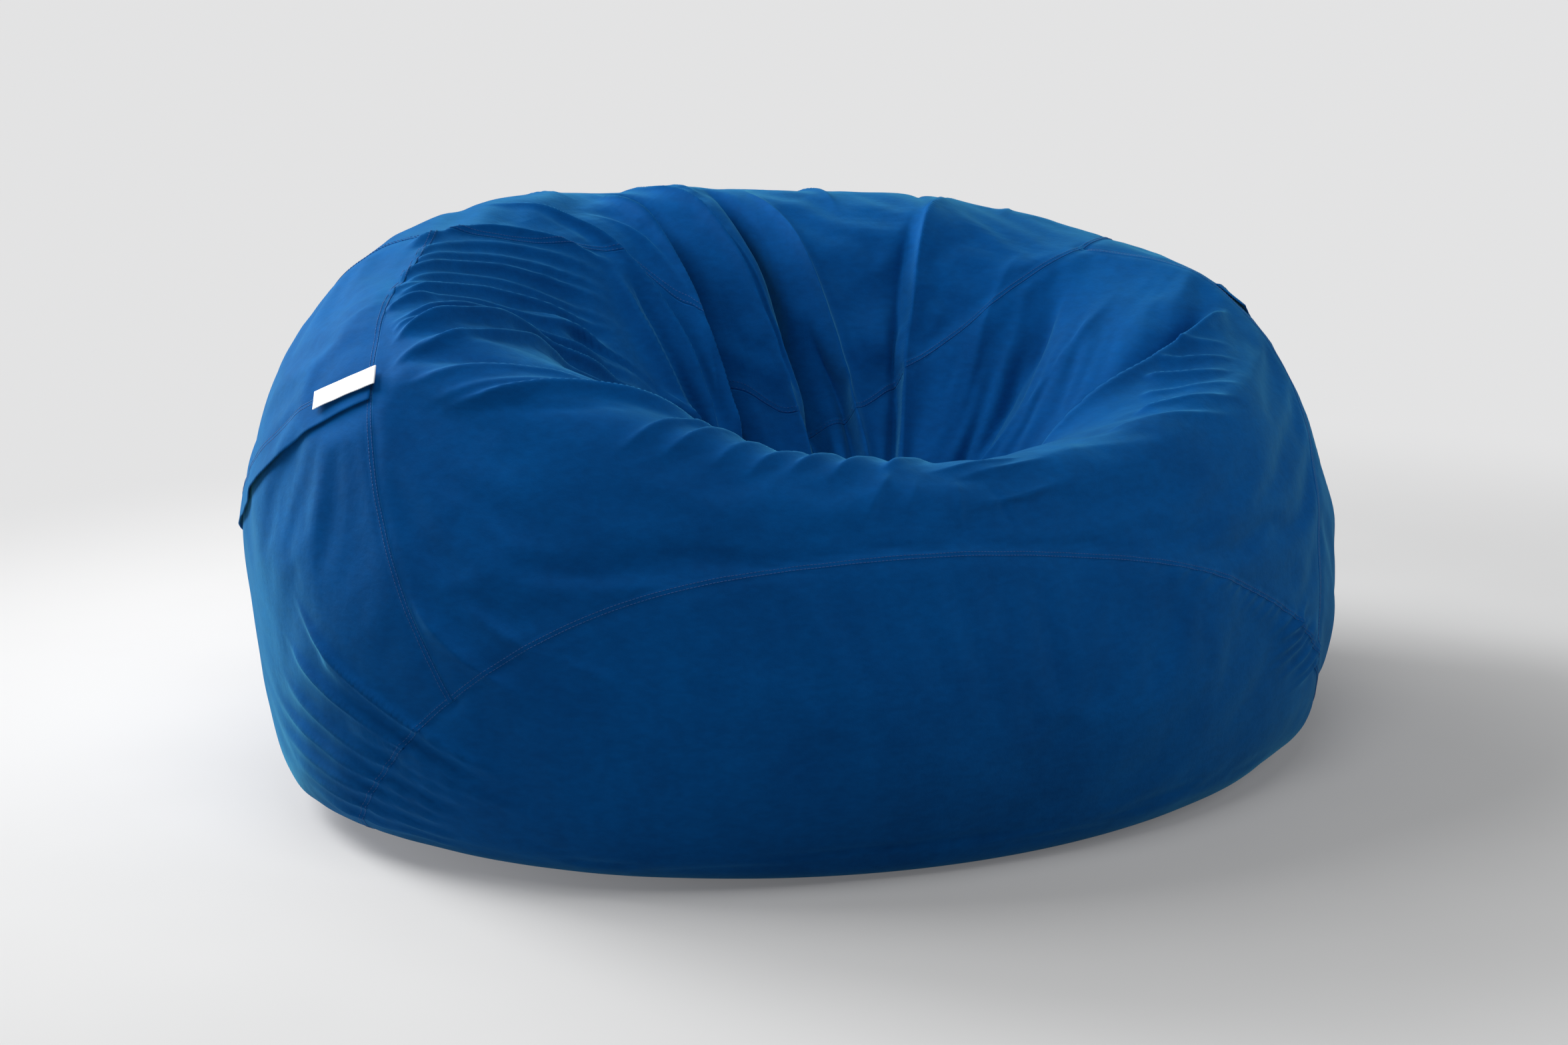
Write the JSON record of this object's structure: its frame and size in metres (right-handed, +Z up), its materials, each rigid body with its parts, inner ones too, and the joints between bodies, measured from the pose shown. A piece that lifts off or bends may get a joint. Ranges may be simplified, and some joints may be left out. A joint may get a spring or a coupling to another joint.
{
  "type": "bean bag chair",
  "caption": "Large round bean bag chair with a deep seat hollow, a low front rim, sewn cover panels, a hidden zip behind it and a zipped inner liner.",
  "frame": {"origin": "middle of the bag's bounding box in plan, at the floor", "axes": "+Z up; +X to the sitter's left, which is the right of someone who looks at the front; -Y to the front, where the rim is lowest"},
  "size_m": [1.5655, 1.2135, 0.7317],
  "materials": {
    "cover_cloth": "brushed micro-suede, matt with a soft sheen",
    "zip_tape": "woven tape",
    "zip_teeth": "coiled nylon",
    "zip_metal": "satin",
    "label_ribbon": "woven satin ribbon, blank",
    "liner_cloth": "plain nonwoven",
    "liner_tape": "woven tape",
    "liner_teeth": "coiled nylon",
    "foam": "loose foam pieces"
  },
  "bodies": {
    "root": {"front_base_panel": "cover_cloth", "back_top_panel": "cover_cloth", "front_band_panel": "cover_cloth", "rear_lower_panel": "cover_cloth", "rear_upper_panel": "cover_cloth", "zip_flap": "cover_cloth", "zip_tape_upper": "zip_tape", "zip_tape_lower": "zip_tape", "zip_teeth_upper": "zip_teeth", "zip_teeth_lower": "zip_teeth", "zip_stops": "zip_metal", "care_label": "label_ribbon", "liner_shell": "liner_cloth", "liner_base_front": "liner_cloth", "liner_base_back": "liner_cloth", "liner_zip_tape_front": "liner_tape", "liner_zip_tape_back": "liner_tape", "liner_zip_teeth_front": "liner_teeth", "liner_zip_teeth_back": "liner_teeth", "liner_zip_stops": "zip_metal", "foam_filling": "foam"},
    "zip_slider": {"zip_slider": "zip_metal"},
    "liner_zip_slider": {"liner_zip_slider": "zip_metal"},
    "seam_label": {"seam_label": "label_ribbon"}
  },
  "joints": [
    {"name": "zip_travel", "type": "hinge", "parent": "root", "child": "zip_slider", "pos_m": [0, -0.151, 0.567], "axis": [0, 0.4695, 0.8829], "range_deg": [0, 101.5]},
    {"name": "liner_zip_travel", "type": "slide", "parent": "root", "child": "liner_zip_slider", "axis": [1, 0, 0], "range_m": [0, 0.673]},
    {"name": "label_swing", "type": "hinge", "parent": "root", "child": "seam_label", "pos_m": [-0.698, -0.063, 0.588], "axis": [0.5197, -0.7496, 0.4098], "range_deg": [-120, 0]}
  ]
}
